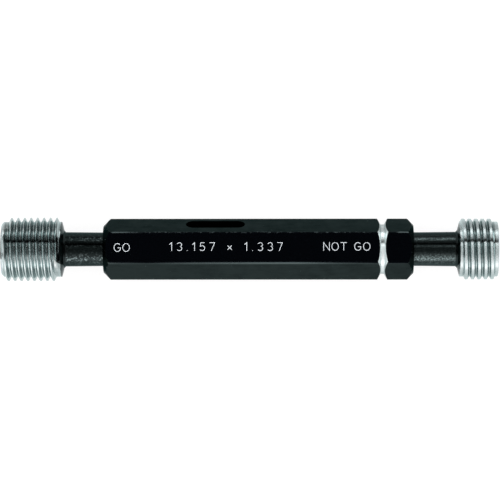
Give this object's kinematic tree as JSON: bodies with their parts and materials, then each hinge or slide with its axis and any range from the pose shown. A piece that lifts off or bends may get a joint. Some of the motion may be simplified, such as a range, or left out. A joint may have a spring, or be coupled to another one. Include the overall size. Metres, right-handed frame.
{
  "type": "thread plug gauge",
  "caption": "Double-ended GO / NOT GO thread plug gauge: a ground threaded member taper-fitted in each end of a blackened hexagon handle with a marking groove and a drift slot.",
  "frame": {"origin": "on the gauge axis, half way between the two front faces", "axes": "+X along the gauge axis from the GO member to the NOT GO member, +Z out of the marked flat of the hexagon"},
  "size_m": [0.1024, 0.0132, 0.0132],
  "materials": {
    "blackened_steel": "black oxide, satin",
    "ground_steel": "hardened and ground"
  },
  "bodies": {
    "root": {"handle": "blackened_steel", "go_plug": "ground_steel", "not_go_plug": "ground_steel"}
  },
  "joints": []
}
